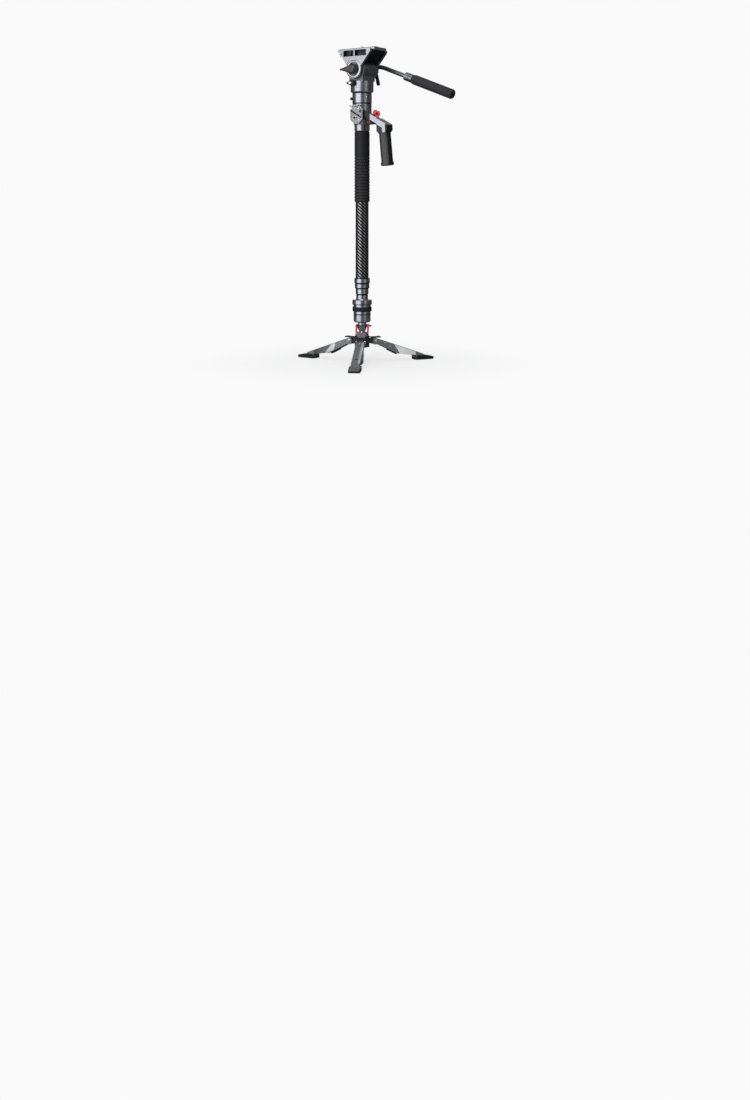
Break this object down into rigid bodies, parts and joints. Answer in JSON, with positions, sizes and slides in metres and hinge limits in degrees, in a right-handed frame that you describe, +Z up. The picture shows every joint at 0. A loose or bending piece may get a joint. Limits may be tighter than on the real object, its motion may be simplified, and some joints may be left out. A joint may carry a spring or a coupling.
{
  "type": "camera monopod",
  "caption": "Telescoping carbon video monopod with folding feet, fluid base, fluid pan-tilt head, pan handle and side grip with a release trigger.",
  "frame": {"origin": "on the floor, under the middle of the whole monopod's box", "axes": "+Z up along the column, +X the way the pan handle points, tilt axis along Y"},
  "size_m": [0.4569, 0.3637, 0.821],
  "materials": {
    "gunmetal": "satin anodised blue-grey aluminium",
    "dark_metal": "dark grey satin cast metal",
    "silver": "bright satin anodised aluminium",
    "carbon": "twill carbon fibre in clear resin",
    "rubber": "matt black rubber",
    "black_plastic": "fine-grained black plastic",
    "red_anodised": "bright red anodised aluminium",
    "steel": "plain turned steel"
  },
  "bodies": {
    "base": {"leg_hub": "dark_metal", "ball_clamp": "gunmetal", "leg_pins": "steel"},
    "lever": {"ball_lock_lever": "red_anodised"},
    "stem": {"ball_stem": "silver", "neck_seal": "rubber", "damper_rotor": "steel"},
    "fluid_unit": {"damper_housing": "gunmetal", "base_adapter": "gunmetal", "tube_4": "carbon", "clutch_4": "black_plastic"},
    "lock_ring": {"base_lock_ring": "gunmetal", "base_lock_grip": "rubber"},
    "section_3": {"tube_3": "carbon", "collar_3": "gunmetal", "clutch_3": "black_plastic", "drive_rod_3": "steel"},
    "section_2": {"tube_2": "carbon", "collar_2": "gunmetal", "clutch_2": "black_plastic", "drive_rod_2": "steel"},
    "section_1": {"tube_1": "carbon", "collar_1": "gunmetal", "drive_rod_1": "steel", "column_grip": "rubber", "clutch_housing": "gunmetal", "octagon_bracket": "silver", "head_adapter": "gunmetal"},
    "head_ring": {"head_lock_ring": "gunmetal"},
    "head_button": {"head_release_button": "black_plastic"},
    "side_handle": {"side_arm": "silver", "side_grip": "black_plastic"},
    "trigger_lever": {"trigger": "red_anodised"},
    "clamp_screw": {"housing_knob": "black_plastic"},
    "pan_head": {"head_core": "dark_metal", "tilt_shaft": "steel"},
    "pan_lock": {"pan_lock_knob": "black_plastic"},
    "tilt_head": {"tilt_platform": "silver"},
    "tilt_lock": {"tilt_lock_lever": "black_plastic"},
    "plate": {"camera_plate": "gunmetal"},
    "plate_screw": {"camera_screw": "steel"},
    "plate_stop_pin": {"plate_pin": "steel"},
    "plate_clamp": {"plate_clamp_knob": "black_plastic"},
    "plate_button": {"plate_release_button": "black_plastic"},
    "pan_handle": {"pan_handle_rod": "gunmetal", "handle_collar": "gunmetal", "pan_handle_grip": "rubber"},
    "handle_lock": {"rosette_lever": "black_plastic"},
    "leg_1": {"leg_1": "gunmetal", "leg_foot_1": "rubber", "leg_pad_1": "rubber"},
    "latch_1": {"leg_latch_1": "gunmetal"},
    "leg_2": {"leg_2": "gunmetal", "leg_foot_2": "rubber", "leg_pad_2": "rubber"},
    "latch_2": {"leg_latch_2": "gunmetal"},
    "leg_3": {"leg_3": "gunmetal", "leg_foot_3": "rubber", "leg_pad_3": "rubber"},
    "latch_3": {"leg_latch_3": "gunmetal"}
  },
  "joints": [
    {"name": "leg_1_fold", "type": "hinge", "parent": "base", "child": "leg_1", "pos_m": [-0.06097, -0.00134, 0.056], "axis": [-0.0384, 0.9993, 0], "range_deg": [0, 102]},
    {"name": "latch_1_pull", "type": "slide", "parent": "leg_1", "child": "latch_1", "axis": [-0.9993, -0.0384, 0], "range_m": [0, 0.0025], "stiffness_N_per_m": 600},
    {"name": "leg_2_fold", "type": "hinge", "parent": "base", "child": "leg_2", "pos_m": [-0.00735, -0.02962, 0.056], "axis": [-0.8462, -0.5329, 0], "range_deg": [0, 102]},
    {"name": "latch_2_pull", "type": "slide", "parent": "leg_2", "child": "latch_2", "axis": [0.5329, -0.8462, 0], "range_m": [0, 0.0025], "stiffness_N_per_m": 600},
    {"name": "leg_3_fold", "type": "hinge", "parent": "base", "child": "leg_3", "pos_m": [-0.00968, 0.03096, 0.056], "axis": [0.8846, -0.4664, 0], "range_deg": [0, 102]},
    {"name": "latch_3_pull", "type": "slide", "parent": "leg_3", "child": "latch_3", "axis": [0.4664, 0.8846, 0], "range_m": [0, 0.0025], "stiffness_N_per_m": 600},
    {"name": "ball_lever_turn", "type": "hinge", "parent": "base", "child": "lever", "pos_m": [-0.026, 0, 0.0746], "axis": [-0.8462, -0.5329, 0], "range_deg": [0, 45]},
    {"name": "ball_tilt", "type": "hinge", "parent": "base", "child": "stem", "pos_m": [-0.026, 0, 0.0746], "axis": [-0.8462, -0.5329, 0], "range_deg": [-15, 15]},
    {"name": "base_pan", "type": "hinge", "parent": "stem", "child": "fluid_unit", "pos_m": [-0.026, 0, 0.105], "axis": [0, 0, 1], "continuous": true},
    {"name": "lock_ring_turn", "type": "hinge", "parent": "fluid_unit", "child": "lock_ring", "pos_m": [-0.026, 0, 0.1334], "axis": [0, 0, 1], "range_deg": [0, 40]},
    {"name": "section_3_slide", "type": "slide", "parent": "fluid_unit", "child": "section_3", "axis": [0, 0, 1], "range_m": [0, 0.31]},
    {"name": "section_2_slide", "type": "slide", "parent": "section_3", "child": "section_2", "axis": [0, 0, 1], "range_m": [0, 0.31]},
    {"name": "section_1_slide", "type": "slide", "parent": "section_2", "child": "section_1", "axis": [0, 0, 1], "range_m": [0, 0.31]},
    {"name": "head_ring_turn", "type": "hinge", "parent": "section_1", "child": "head_ring", "pos_m": [-0.026, 0, 0.6723], "axis": [0, 0, 1], "range_deg": [0, 30]},
    {"name": "head_button_press", "type": "slide", "parent": "head_ring", "child": "head_button", "axis": [0.788, 0.6157, 0], "range_m": [0, 0.0018], "stiffness_N_per_m": 600},
    {"name": "side_handle_swing", "type": "hinge", "parent": "section_1", "child": "side_handle", "pos_m": [-0.009, -0.023, 0.652], "axis": [0, -1, 0], "range_deg": [0, 40]},
    {"name": "trigger_squeeze", "type": "hinge", "parent": "side_handle", "child": "trigger_lever", "pos_m": [0.041, -0.023, 0.62593], "axis": [0, -1, 0], "range_deg": [0, 12], "stiffness_Nm_per_rad": 0.4},
    {"name": "clamp_screw_turn", "type": "hinge", "parent": "section_1", "child": "clamp_screw", "pos_m": [0.0055, 0, 0.625], "axis": [1, 0, 0], "continuous": true},
    {"name": "head_pan", "type": "hinge", "parent": "section_1", "child": "pan_head", "pos_m": [-0.026, 0, 0.712], "axis": [0, 0, 1], "continuous": true},
    {"name": "pan_lock_turn", "type": "hinge", "parent": "pan_head", "child": "pan_lock", "pos_m": [-0.03, -0.033, 0.7245], "axis": [0, 1, 0], "range_deg": [-45, 45]},
    {"name": "head_tilt", "type": "hinge", "parent": "pan_head", "child": "tilt_head", "pos_m": [-0.026, 0, 0.76], "axis": [0, 1, 0], "range_deg": [-60, 60]},
    {"name": "tilt_lock_turn", "type": "hinge", "parent": "pan_head", "child": "tilt_lock", "pos_m": [-0.026, -0.0367, 0.76], "axis": [0, 1, 0], "range_deg": [-30, 60]},
    {"name": "plate_slide", "type": "slide", "parent": "tilt_head", "child": "plate", "axis": [1, 0, 0], "range_m": [-0.02, 0.02]},
    {"name": "camera_screw_turn", "type": "hinge", "parent": "plate", "child": "plate_screw", "pos_m": [-0.026, 0, 0.815], "axis": [0, 0, 1], "continuous": true},
    {"name": "stop_pin_press", "type": "slide", "parent": "plate", "child": "plate_stop_pin", "axis": [0, 0, 1], "range_m": [-0.003, 0], "stiffness_N_per_m": 500},
    {"name": "plate_clamp_turn", "type": "hinge", "parent": "tilt_head", "child": "plate_clamp", "pos_m": [-0.038, -0.0367, 0.8009], "axis": [0, 1, 0], "range_deg": [0, 170]},
    {"name": "plate_button_press", "type": "slide", "parent": "tilt_head", "child": "plate_button", "axis": [0, 1, 0], "range_m": [0, 0.0018], "stiffness_N_per_m": 600},
    {"name": "pan_handle_angle", "type": "hinge", "parent": "tilt_head", "child": "pan_handle", "pos_m": [-0.026, 0.05, 0.76], "axis": [0, 1, 0], "range_deg": [-45, 45]},
    {"name": "handle_lock_turn", "type": "hinge", "parent": "pan_handle", "child": "handle_lock", "pos_m": [-0.026, 0.05635, 0.76], "axis": [0, 1, 0], "range_deg": [-45, 90]}
  ]
}
